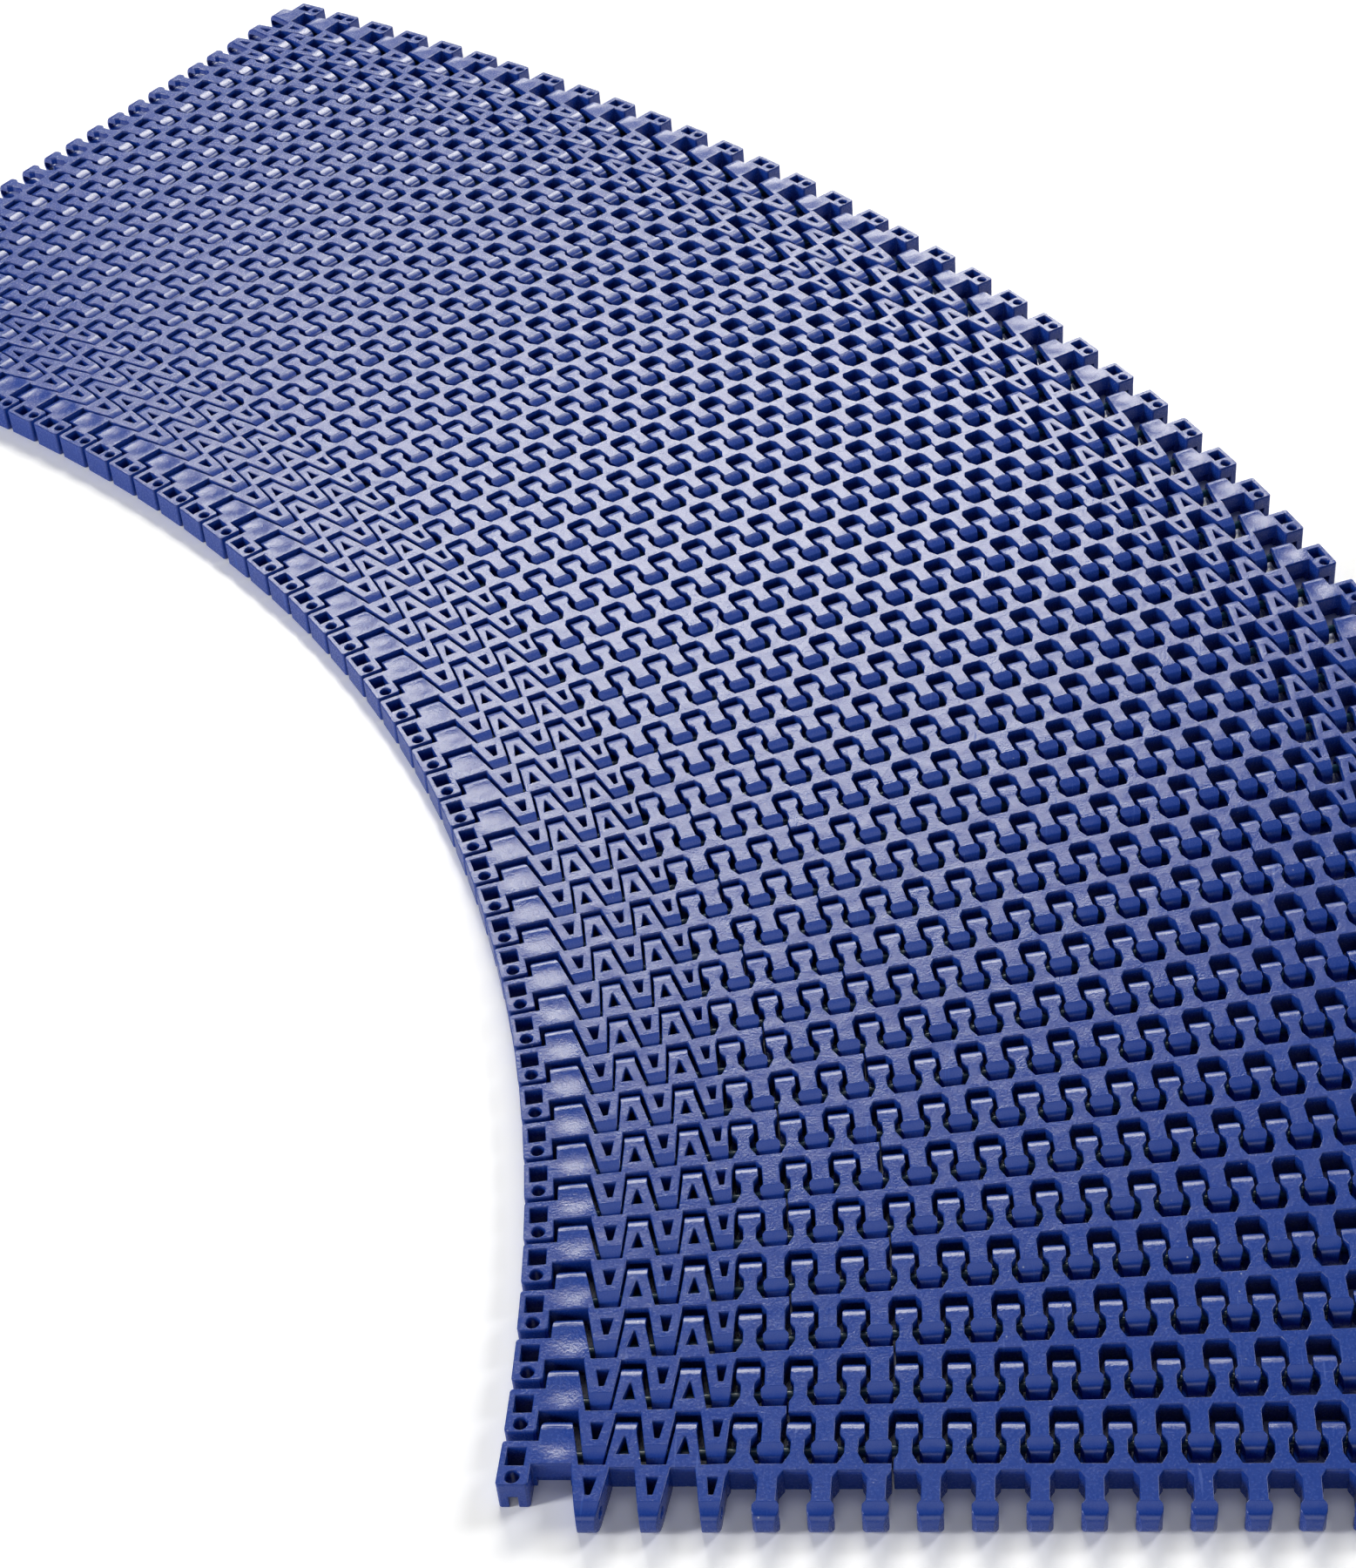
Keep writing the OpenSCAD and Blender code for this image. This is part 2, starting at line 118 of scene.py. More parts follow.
class BeltSizes(PropertyGroup):
    """Sizes of the moulded modules and their pins that the solids leave open."""

    hinge_ahead: FloatProperty(
        name="Hinge ahead", description="From the edge hole forwards to the hinge pin's axis",
        default=7.8 * MM, unit="LENGTH")
    hinge_inset: FloatProperty(
        name="Hinge inset", description="From the edge hole inwards to the hinge pin's end",
        default=7.4 * MM, unit="LENGTH")
    pin_diameter: FloatProperty(
        name="Pin diameter", description="Diameter of the hinge pins",
        default=3.2 * MM, unit="LENGTH")
    pin_sides: IntProperty(
        name="Pin sides", description="Flat sides of a hinge pin's round",
        default=20, min=8, max=64)
    pin_chamfer: FloatProperty(
        name="Pin chamfer", description="Rounding of the hinge pins' ends",
        default=0.4 * MM, unit="LENGTH")
    edge_radius: FloatProperty(
        name="Edge radius", description="Rounding of the modules' moulded edges",
        default=0.24 * MM, unit="LENGTH")
    edge_steps: IntProperty(
        name="Edge steps", description="Facets across one rounded edge",
        default=2, min=1, max=4)
    crease: FloatProperty(
        name="Crease", description="Smallest turn between two faces whose shared edge is rounded",
        default=math.radians(14), subtype="ANGLE")
    near_rows: IntProperty(
        name="Near rows", description="Rows at the front whose edges are rounded with the full steps",
        default=10, min=1, max=60)
    grain_pitch: FloatProperty(
        name="Grain pitch", description="Spacing of the fine grain on the modules' tops",
        default=0.8 * MM, unit="LENGTH", precision=5)
    grain_depth: FloatProperty(
        name="Grain depth", description="Depth of the fine grain on the modules' tops",
        default=0.10 * MM, unit="LENGTH", precision=5)
    wave_depth: FloatProperty(
        name="Wave depth", description="Depth of the slow waves in the moulded faces",
        default=0.2 * MM, unit="LENGTH", precision=5)
    wing_sink: FloatVectorProperty(
        name="Wing sink", description="Centre of the shallow sink in a wing's top, from its edge hole",
        default=(11 * MM, 11.5 * MM, 10.5 * MM), subtype="TRANSLATION", unit="LENGTH", size=3)
    wing_sink_reach: FloatProperty(
        name="Sink reach", description="Radius of the shallow sink in a wing's top",
        default=8 * MM, unit="LENGTH")
    wing_sink_depth: FloatProperty(
        name="Sink depth", description="Depth of the shallow sink in a wing's top",
        default=0.42 * MM, unit="LENGTH", precision=5)
    shoulder_reach: FloatProperty(
        name="Shoulder reach", description="Height of the band under the top where the walls lean back",
        default=1.3 * MM, unit="LENGTH", precision=5)
    shoulder_lean: FloatProperty(
        name="Shoulder lean", description="How far the walls lean back at the very top",
        default=math.radians(34), subtype="ANGLE")


class BeltColours(PropertyGroup):
    """Colours of the plastics and of the table."""

    module_blue: FloatVectorProperty(
        name="Module blue", description="Colour of the moulded modules",
        default=(0.008, 0.042, 0.285), subtype="COLOR", size=3, min=0, max=1)
    module_pale: FloatVectorProperty(
        name="Pale blue", description="Paler patches of the modules",
        default=(0.014, 0.052, 0.28), subtype="COLOR", size=3, min=0, max=1)
    rubbed_and_highlight_blue: FloatVectorProperty(
        name="Rubbed and highlight blue", description="Colour of the modules' rubbed grain, scuffs and edges, whose paleness is partly a painted highlight",
        default=(0.022, 0.085, 0.42), subtype="COLOR", size=3, min=0, max=1)
    dust: FloatVectorProperty(
        name="Dust", description="Colour of the specks of dust",
        default=(0.6, 0.62, 0.66), subtype="COLOR", size=3, min=0, max=1)
    pin_blue: FloatVectorProperty(
        name="Pin blue", description="Colour of the hinge pins",
        default=(0.008, 0.055, 0.10), subtype="COLOR", size=3, min=0, max=1)
    pin_rubbed: FloatVectorProperty(
        name="Rubbed pin", description="Colour of the hinge pins where they are rubbed",
        default=(0.02, 0.10, 0.16), subtype="COLOR", size=3, min=0, max=1)
    table_white: FloatVectorProperty(
        name="Table white", description="Colour of the table top",
        default=(0.95, 0.957, 0.985), subtype="COLOR", size=3, min=0, max=1)
    table_shade: FloatVectorProperty(
        name="Table shade", description="Darker patches of the table top",
        default=(0.9, 0.9, 0.9), subtype="COLOR", size=3, min=0, max=1)


class BeltFinish(PropertyGroup):
    """How strongly the plastics and the table top are marked, and how satin they are."""

    mottle_share: FloatProperty(
        name="Mottle", description="Share of the pale blue in the modules' slow patches",
        default=0.35, min=0, max=1)
    speckle_share: FloatProperty(
        name="Speckle", description="Share of the rubbed and highlight blue in the grain of the modules' tops",
        default=0.4, min=0, max=1)
    edge_wear_and_highlight_share: FloatProperty(
        name="Edge wear and highlight", description="Share of the rubbed and highlight blue on the modules' rubbed edges",
        default=0.1, min=0, max=1)
    scuff_share: FloatProperty(
        name="Scuffs", description="Share of the rubbed and highlight blue in the modules' scuffs",
        default=0.5, min=0, max=1)
    dust_share: FloatProperty(
        name="Dust", description="Share of the dust's colour in its specks",
        default=0.6, min=0, max=1)
    wall_roughness: FloatProperty(
        name="Wall roughness", description="Roughness of the modules' smooth walls and noses",
        default=0.26, min=0, max=1)
    top_roughness: FloatProperty(
        name="Top roughness", description="Roughness of the modules' tops",
        default=0.25, min=0, max=1)
    grain_roughness: FloatProperty(
        name="Grain roughness", description="How far the grain moves the modules' roughness each way",
        default=0.05, min=0, max=1)
    scuff_roughness: FloatProperty(
        name="Scuff roughness", description="How much rougher the modules are in a scuff",
        default=0.15, min=0, max=1)
    pin_mottle_share: FloatProperty(
        name="Pin mottle", description="Share of the rubbed colour in the hinge pins' slow patches",
        default=0.4, min=0, max=1)
    pin_roughness: FloatVectorProperty(
        name="Pin roughness", description="Least and greatest roughness of the hinge pins",
        default=(0.28, 0.38), size=2, min=0, max=1)
    table_mottle_share: FloatProperty(
        name="Table mottle", description="Share of the darker shade in the table top's slow patches",
        default=0.1, min=0, max=1)
    table_roughness: FloatVectorProperty(
        name="Table roughness", description="Least and greatest roughness of the table top",
        default=(0.22, 0.28), size=2, min=0, max=1)
    smooth_grain_share: FloatProperty(
        name="Smooth grain",
        description="Strength of the pins' and the table's bump as a share of the modules' grain depth",
        default=0.1, min=0, max=1)


class BeltStudio(PropertyGroup):
    """The camera's place over the belt and the lamps' levels."""

    eye: FloatVectorProperty(
        name="Eye", description="Place of the camera",
        default=(0.1399, -0.4546, 0.6720), subtype="TRANSLATION", unit="LENGTH", size=3)
    heading: FloatProperty(
        name="Heading", description="Turn of the camera from the belt's run towards its outer edge",
        default=0.0264, subtype="ANGLE")
    tilt: FloatProperty(
        name="Tilt", description="How far the camera looks down",
        default=0.6513, subtype="ANGLE")
    roll: FloatProperty(
        name="Roll", description="Turn of the camera about its own line of sight",
        default=0.0215, subtype="ANGLE")
    lens: FloatProperty(
        name="Lens", description="Focal length in millimetres on a 36 mm frame",
        default=63.673, min=10, max=300)
    shift: FloatVectorProperty(
        name="Shift", description="Sideways and upward shift of the frame, in frame lengths",
        default=(-0.2602, -0.1394), size=2)
    table_lift: FloatProperty(
        name="Table lift", description="How much paler the table looks to the camera than to the belt",
        default=1.25, min=1, max=2)
    lamp_distance: FloatProperty(
        name="Lamp distance", description="Distance of the lamps from the belt",
        default=4.0, unit="LENGTH")
    window_bearing: FloatProperty(
        name="Window bearing", description="Bearing of the big softbox behind the belt",
        default=math.radians(-8), subtype="ANGLE")
    window_height: FloatProperty(
        name="Window height", description="Angle of the big softbox above the table",
        default=math.radians(37), subtype="ANGLE")
    window_size: FloatVectorProperty(
        name="Window size", description="Width and height of the big softbox",
        default=(2.1, 0.8), unit="LENGTH", size=2)
    window_roll: FloatProperty(
        name="Window roll", description="Turn of the big softbox about its own axis",
        default=math.radians(12), subtype="ANGLE")
    window_colour: FloatVectorProperty(
        name="Window colour", description="Colour of the big softbox's light",
        default=(1.0, 0.972, 0.86), subtype="COLOR", size=3, min=0, max=1)
    window_watts: FloatProperty(
        name="Window watts", description="Power of the big softbox", default=93, unit="POWER")
    side_bearing: FloatProperty(
        name="Side bearing", description="Bearing of the lamp on the belt's outer side",
        default=math.radians(60), subtype="ANGLE")
    side_height: FloatProperty(
        name="Side height", description="Angle of the side lamp above the table",
        default=math.radians(40), subtype="ANGLE")
    side_size: FloatVectorProperty(
        name="Side size", description="Width and height of the side lamp",
        default=(1.5, 1.3), unit="LENGTH", size=2)
    side_watts: FloatProperty(
        name="Side watts", description="Power of the side lamp", default=66, unit="POWER")
    strip_height: FloatProperty(
        name="Strip height", description="Angle of the low strip light above the table",
        default=math.radians(9), subtype="ANGLE")
    strip_size: FloatVectorProperty(
        name="Strip size", description="Width and height of the low strip light",
        default=(3.8, 0.8), unit="LENGTH", size=2)
    strip_watts: FloatProperty(
        name="Strip watts", description="Power of the low strip light", default=20, unit="POWER")
    panel_height: FloatProperty(
        name="Panel height", description="Angle above the table of the soft panel overhead",
        default=math.radians(80), subtype="ANGLE")
    panel_size: FloatVectorProperty(
        name="Panel size", description="Width and height of the overhead panel",
        default=(1.8, 1.6), unit="LENGTH", size=2)
    panel_watts: FloatProperty(
        name="Panel watts", description="Power of the overhead panel", default=10, unit="POWER")
    edge_bearing: FloatProperty(
        name="Edge bearing", description="Bearing of the narrow strip ahead of the belt's inner side",
        default=math.radians(-112), subtype="ANGLE")
    edge_height: FloatProperty(
        name="Edge height", description="Angle of the narrow strip above the table",
        default=math.radians(24), subtype="ANGLE")
    edge_size: FloatVectorProperty(
        name="Edge size", description="Width and height of the narrow strip",
        default=(0.7, 1.2), unit="LENGTH", size=2)
    edge_watts: FloatProperty(
        name="Edge watts", description="Power of the narrow strip", default=95, unit="POWER")
    fill_height: FloatProperty(
        name="Fill height", description="Angle above the table of the fill light in front of the belt",
        default=math.radians(18), subtype="ANGLE")
    fill_size: FloatVectorProperty(
        name="Fill size", description="Width and height of the fill light",
        default=(4.5, 1.4), unit="LENGTH", size=2)
    fill_watts: FloatProperty(
        name="Fill watts", description="Power of the fill light", default=36, unit="POWER")
    world_level: FloatProperty(
        name="World level", description="Level of the light from all round", default=0.04, min=0, max=2)


def settings():
    """The scene's four groups of settings."""
    scene = bpy.context.scene
    return scene.belt_sizes, scene.belt_colours, scene.belt_finish, scene.belt_studio


# ---------------------------------------------------------------- rows and their places


def row_name(row):
    """Name of a row's body, which the plain rows' nodes share."""
    return f"row_{row:02d}"


def row_places(sizes):
    """Each row's turn and place: every side-flex hinge stands at the outer end of the pin behind its row."""
    hinges = {joint["name"]: joint for joint in frame["joints"]}
    ratios = {pair["joint"]: pair["ratio"] for pair in BEHAVIOUR["couplings"]}
    leader = next(name for name in hinges if name.startswith("flex") and name not in ratios)
    full_turn = math.radians(hinges[leader]["range_deg"][1])
    places = [Matrix.Identity(4)]
    turned = 0.0
    for line in range(1, ROWS):
        name = f"flex_{line:02d}"
        turned += full_turn * ratios.get(name, 1.0)
        turn = Matrix.Rotation(turned, 4, "Z")
        hinge = Vector(hinges[name]["pos_m"])
        pivot = Vector((HOLE_SPAN - sizes.hinge_inset, -sizes.hinge_ahead, hinge.z))
        places.append(Matrix.Translation(hinge - turn @ pivot) @ turn)
    return places


# ---------------------------------------------------------------- shaping


def deselect_all():
    """Leaves object mode with nothing selected, so that the next operator acts on the new piece alone."""
    if bpy.context.object is not None and bpy.context.object.mode != "OBJECT":
        bpy.ops.object.mode_set(mode="OBJECT")
    bpy.ops.object.select_all(action="DESELECT")


def make_active(obj):
    """Selects one object and makes it the one that operators act on."""
    deselect_all()
    obj.select_set(True)
    bpy.context.view_layer.objects.active = obj


def apply_modifiers(obj):
    """Applies a piece's modifiers in order."""
    make_active(obj)
    for modifier in list(obj.modifiers):
        bpy.ops.object.modifier_apply(modifier=modifier.name)


def module_pattern(part, row, place, sizes, steps):
    """One module of a row in the row's own coordinates: the solid's copy, merged, with its edges rounded."""
    solid = frame["nodes"][f"{row_name(row)}_{part}"]
    pattern = bpy.data.objects.new(f"{part}_pattern", solid.data.copy())
    bpy.context.scene.collection.objects.link(pattern)
    pattern.data.transform(place.inverted())
    make_active(pattern)
    bpy.ops.object.mode_set(mode="EDIT")
    bpy.ops.mesh.select_mode(type="VERT")
    bpy.ops.mesh.select_all(action="SELECT")
    bpy.ops.mesh.remove_doubles(threshold=MERGE_GAP)
    bpy.ops.mesh.dissolve_limited(angle_limit=FLAT_TURN)
    bpy.ops.object.mode_set(mode="OBJECT")
    rounding = pattern.modifiers.new("moulded_edges", "BEVEL")
    rounding.width = sizes.edge_radius
    rounding.segments = steps
    rounding.limit_method = "ANGLE"
    rounding.angle_limit = sizes.crease
    rounding.use_clamp_overlap = False
    rounding.loop_slide = False
    bpy.ops.object.shade_smooth()
    flats = pattern.modifiers.new("flat_faces", "WEIGHTED_NORMAL")
    flats.mode = "FACE_AREA"
    flats.weight = FLAT_FACE_WEIGHT
    flats.thresh = FLAT_FACE_MATCH
    apply_modifiers(pattern)
    moulding = pattern.data.attributes.new("moulding", "FLOAT_VECTOR", "POINT")
    points = np.empty(3 * len(pattern.data.vertices), dtype=np.float32)
    pattern.data.vertices.foreach_get("co", points)
    moulding.data.foreach_set("vector", points)
    return pattern


def repeat_modules(part, material):
    """Copies a module's odd and even patterns down the belt, one piece with its own mesh for each row."""
    sizes = bpy.context.scene.belt_sizes
    places = row_places(sizes)
    patterns = {
        (row % 2, near): module_pattern(part, row, places[row - 1], sizes, sizes.edge_steps if near else 1)
        for row in (EVEN_PATTERN_ROW, ODD_PATTERN_ROW) for near in (True, False)
    }
    for row in range(1, ROWS + 1):
        body = row_name(row)
        pattern = patterns[row % 2, row <= sizes.near_rows]
        piece = bpy.data.objects.new(f"{part}_{row:02d}", pattern.data.copy())
        bpy.context.scene.collection.objects.link(piece)
        piece.data.transform(places[row - 1])
        piece.data.materials.clear()
        piece.data.materials.append(material)
        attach(piece, body)
        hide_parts(f"{body}_{part}" if row <= SPLIT_ROWS else body)
    for pattern in patterns.values():
        bpy.data.objects.remove(pattern)


# ---------------------------------------------------------------- materials


def add_node(tree, kind, values=None, **options):
    """A node with its options and its sockets' values set."""
    node = tree.nodes.new(kind)
    for name, value in options.items():
        setattr(node, name, value)
    for name, value in (values or {}).items():
        node.inputs[name].default_value = value
    return node


def join(tree, source, target):
    """Links one socket to another."""
    tree.links.new(source, target)


def ramp(tree, value, start, end, low=0.0, high=1.0):
    """A value brought from start..end to low..high and held there."""
    mapped = add_node(tree, "ShaderNodeMapRange", {
        "From Min": start, "From Max": end, "To Min": low, "To Max": high})
    join(tree, value, mapped.inputs["Value"])
    return mapped.outputs["Result"]


def combine(tree, operation, first, second):
    """Two values put through one arithmetic step; the second may be a plain number."""
    step = add_node(tree, "ShaderNodeMath", operation=operation)
    join(tree, first, step.inputs[0])
    if isinstance(second, (int, float)):
        step.inputs[1].default_value = second
    else:
        join(tree, second, step.inputs[1])
    return step.outputs["Value"]


def tint(tree, base, colour, amount):
    """A colour mixed over a base colour by a mask."""
    mix = add_node(tree, "ShaderNodeMix", data_type="RGBA")
    join(tree, amount, mix.inputs["Factor"])
    for socket, value in ((mix.inputs["A"], base), (mix.inputs["B"], colour)):
        if isinstance(value, bpy.types.NodeSocket):
            join(tree, value, socket)
        else:
            socket.default_value = (*value, 1)
    return mix.outputs["Result"]


def new_group(name, inputs, outputs):
    """An empty effect group with named inputs and named float outputs."""
    group = bpy.data.node_groups.new(name, "ShaderNodeTree")
    for socket, kind in inputs:
        group.interface.new_socket(socket, in_out="INPUT", socket_type=kind)
    for socket in outputs:
        group.interface.new_socket(socket, in_out="OUTPUT", socket_type="NodeSocketFloat")
    return group, group.nodes.new("NodeGroupInput"), group.nodes.new("NodeGroupOutput")


def grain_group():
    """A mould's marks: the height of its fine eroded grain, slow waves, and a mottle of the colour."""
    if "mould_grain" in bpy.data.node_groups:
        return bpy.data.node_groups["mould_grain"]
    group, given, result = new_group(
        "mould_grain", (("Vector", "NodeSocketVector"), ("Fineness", "NodeSocketFloat")),
        ("Height", "Wave", "Mottle"))
    fine = add_node(group, "ShaderNodeTexNoise", {"Detail": 2.0, "Roughness": 0.6})
    join(group, given.outputs["Vector"], fine.inputs["Vector"])
    join(group, given.outputs["Fineness"], fine.inputs["Scale"])
    join(group, fine.outputs["Fac"], result.inputs["Height"])
    wave = add_node(group, "ShaderNodeTexNoise", {
        "Scale": WAVES_PER_METRE, "Detail": 1.0, "Roughness": 0.4})
    join(group, given.outputs["Vector"], wave.inputs["Vector"])
    join(group, wave.outputs["Fac"], result.inputs["Wave"])
    slow = add_node(group, "ShaderNodeTexNoise", {
        "Scale": MOTTLES_PER_METRE, "Detail": 3.0, "Roughness": 0.55})
    join(group, given.outputs["Vector"], slow.inputs["Vector"])
    join(group, ramp(group, slow.outputs["Fac"], *MOTTLE_BAND), result.inputs["Mottle"])
    return group


def wear_group():
    """Wear and dirt of handled plastic, each as a mask: thin scuffs, specks of dust, and paler convex edges that
    are partly rubbed wear and partly a painted highlight.
    """
    if "wear_and_edge_highlight" in bpy.data.node_groups:
        return bpy.data.node_groups["wear_and_edge_highlight"]
    group, given, result = new_group(
        "wear_and_edge_highlight", (("Vector", "NodeSocketVector"),), ("Edges", "Scuffs", "Dust"))
    shape = group.nodes.new("ShaderNodeNewGeometry")
    # Convex edges picked out by Pointiness and made paler: partly rubbed wear, partly a painted highlight.
    join(group, ramp(group, shape.outputs["Pointiness"], *RUBBED_EDGE_HIGHLIGHT_BAND), result.inputs["Edges"])
    stretch = add_node(group, "ShaderNodeMapping", {
        "Rotation": SCUFF_TURN, "Scale": SCUFFS_PER_METRE})
    join(group, given.outputs["Vector"], stretch.inputs["Vector"])
    lines = add_node(group, "ShaderNodeTexNoise", {"Scale": 1.0, "Detail": 1.0})
    join(group, stretch.outputs["Vector"], lines.inputs["Vector"])
    patches = add_node(group, "ShaderNodeTexNoise", {"Scale": PATCHES_PER_METRE, "Detail": 2.0})
    join(group, given.outputs["Vector"], patches.inputs["Vector"])
    scuffs = combine(group, "MULTIPLY", ramp(group, lines.outputs["Fac"], *SCUFF_BAND),
                     ramp(group, patches.outputs["Fac"], *SCUFF_PATCH_BAND))
    join(group, scuffs, result.inputs["Scuffs"])
    specks = add_node(group, "ShaderNodeTexVoronoi", {
        "Scale": SPECKS_PER_METRE, "Randomness": 1.0})
    join(group, given.outputs["Vector"], specks.inputs["Vector"])
    dust = combine(group, "MULTIPLY", ramp(group, specks.outputs["Distance"], *DUST_BAND),
                   ramp(group, patches.outputs["Fac"], *DUST_PATCH_BAND))
    join(group, dust, result.inputs["Dust"])
    return group


def sink_group():
    """A shallow sink round a centre: a height of 0 there that rises smoothly to 1 at the sink's reach."""
    if "mould_sink" in bpy.data.node_groups:
        return bpy.data.node_groups["mould_sink"]
    group, given, result = new_group(
        "mould_sink",
        (("Vector", "NodeSocketVector"), ("Centre", "NodeSocketVector"), ("Reach", "NodeSocketFloat")),
        ("Height",))
    away = add_node(group, "ShaderNodeVectorMath", operation="DISTANCE")
    join(group, given.outputs["Vector"], away.inputs[0])
    join(group, given.outputs["Centre"], away.inputs[1])
    share = combine(group, "DIVIDE", away.outputs["Value"], given.outputs["Reach"])
    smooth = add_node(group, "ShaderNodeMapRange", interpolation_type="SMOOTHERSTEP")
    join(group, share, smooth.inputs["Value"])
    join(group, smooth.outputs["Result"], result.inputs["Height"])
    return group


def new_material(name):
    """An empty node material with its Principled BSDF and output."""
    material = bpy.data.materials.get(name) or bpy.data.materials.new(name)
    material.use_nodes = True
    nodes = material.node_tree.nodes
    nodes.clear()
    shader = nodes.new("ShaderNodeBsdfPrincipled")
    output = nodes.new("ShaderNodeOutputMaterial")
    material.node_tree.links.new(shader.outputs["BSDF"], output.inputs["Surface"])
    return material, shader


def place_group(tree, group, vector, values=None):
    """One use of an effect group, fed with coordinates and its own values."""
    node = add_node(tree, "ShaderNodeGroup", node_tree=group)
    join(tree, vector, node.inputs["Vector"])
    for name, value in (values or {}).items():
        node.inputs[name].default_value = value
    return node


def raise_surface(tree, shader, height, depth=1.0):
    """Bumps a material's surface by a height times a depth in metres."""
    bump = add_node(tree, "ShaderNodeBump", {"Strength": 1.0, "Distance": depth})
    join(tree, height, bump.inputs["Height"])
    join(tree, bump.outputs["Normal"], shader.inputs["Normal"])


def module_relief(tree, grain, height, moulding, top):
    """Height of the modules' grain, slow waves, sunk wings, and the walls' lean under the top."""
    sizes = bpy.context.scene.belt_sizes
    relief = combine(tree, "MULTIPLY", combine(tree, "MULTIPLY", grain.outputs["Height"], top),
                     sizes.grain_depth)
    for centre in (sizes.wing_sink, (HOLE_SPAN - sizes.wing_sink[0], *sizes.wing_sink[1:])):
        sink = place_group(tree, sink_group(), moulding, {"Centre": centre, "Reach": sizes.wing_sink_reach})
        depth = combine(tree, "MULTIPLY", sink.outputs["Height"], sizes.wing_sink_depth)
        relief = combine(tree, "ADD", relief, depth)
    waves = combine(tree, "MULTIPLY", grain.outputs["Wave"], sizes.wave_depth)
    relief = combine(tree, "ADD", relief, waves)
    above = combine(tree, "SUBTRACT", height, BELT_TOP - sizes.shoulder_reach)
    above = combine(tree, "MAXIMUM", above, 0.0)
    lean = 0.5 * math.tan(sizes.shoulder_lean) / sizes.shoulder_reach
    shoulder = combine(tree, "MULTIPLY", combine(tree, "MULTIPLY", above, above), lean)
    return combine(tree, "SUBTRACT", relief, shoulder)


def moulded_module_plastic():
    """Satin blue plastic of the modules: grained tops, sunk wings and walls rounded under the top."""
    if "moulded_module_plastic" in bpy.data.materials:
        return bpy.data.materials["moulded_module_plastic"]
    sizes, colours, finish, _ = settings()
    material, shader = new_material("moulded_module_plastic")
    tree = material.node_tree
    spot = tree.nodes.new("ShaderNodeTexCoord")
    moulding = add_node(tree, "ShaderNodeAttribute", attribute_name="moulding")
    grain = place_group(tree, grain_group(), spot.outputs["Object"], {"Fineness": 1 / sizes.grain_pitch})
    wear = place_group(tree, wear_group(), spot.outputs["Object"])
    height = add_node(tree, "ShaderNodeSeparateXYZ")
    join(tree, moulding.outputs["Vector"], height.inputs["Vector"])
    facing = add_node(tree, "ShaderNodeSeparateXYZ")
    join(tree, spot.outputs["Normal"], facing.inputs["Vector"])
    top = combine(tree, "MULTIPLY",
                  ramp(tree, height.outputs["Z"], *TOP_BAND), ramp(tree, facing.outputs["Z"], *TOP_FACING))

    mottle = combine(tree, "MULTIPLY", grain.outputs["Mottle"], finish.mottle_share)
    colour = tint(tree, colours.module_blue, colours.module_pale, mottle)
    speckle = combine(tree, "MULTIPLY", ramp(tree, grain.outputs["Height"], *SPECKLE_BAND), top)
    # The edge mask paints the convex edges paler, both as rubbed wear and as a painted highlight.
    for mask, share, shade in (
            (speckle, finish.speckle_share, colours.rubbed_and_highlight_blue),
            (wear.outputs["Edges"], finish.edge_wear_and_highlight_share, colours.rubbed_and_highlight_blue),
            (wear.outputs["Scuffs"], finish.scuff_share, colours.rubbed_and_highlight_blue),
            (wear.outputs["Dust"], finish.dust_share, colours.dust)):
        colour = tint(tree, colour, shade, combine(tree, "MULTIPLY", mask, share))
    join(tree, colour, shader.inputs["Base Color"])

    swing = finish.grain_roughness
    satin = ramp(tree, top, 0.0, 1.0, finish.wall_roughness, finish.top_roughness)
    satin = combine(tree, "ADD", satin, ramp(tree, grain.outputs["Height"], *SATIN_BAND, -swing, swing))
    scuffed = combine(tree, "MULTIPLY", wear.outputs["Scuffs"], finish.scuff_roughness)
    join(tree, combine(tree, "ADD", satin, scuffed), shader.inputs["Roughness"])
    relief = module_relief(tree, grain, height.outputs["Z"], moulding.outputs["Vector"], top)
    raise_surface(tree, shader, relief)
    return material


def smooth_pin_plastic():
    """Satin teal plastic of the hinge pins, with slow paler patches and thin scuffs."""
    if "smooth_pin_plastic" in bpy.data.materials:
        return bpy.data.materials["smooth_pin_plastic"]
    sizes, colours, finish, _ = settings()
    material, shader = new_material("smooth_pin_plastic")
    tree = material.node_tree
    spot = tree.nodes.new("ShaderNodeTexCoord")
    grain = place_group(tree, grain_group(), spot.outputs["Object"], {"Fineness": 1 / sizes.grain_pitch})
    wear = place_group(tree, wear_group(), spot.outputs["Object"])
    mottle = combine(tree, "MULTIPLY", grain.outputs["Mottle"], finish.pin_mottle_share)
    colour = tint(tree, colours.pin_blue, colours.pin_rubbed, mottle)
    colour = tint(tree, colour, colours.pin_rubbed, wear.outputs["Scuffs"])
    join(tree, colour, shader.inputs["Base Color"])
    satin = ramp(tree, grain.outputs["Mottle"], 0.0, 1.0, *finish.pin_roughness)
    join(tree, satin, shader.inputs["Roughness"])
    raise_surface(tree, shader, grain.outputs["Height"], finish.smooth_grain_share * sizes.grain_depth)
    return material


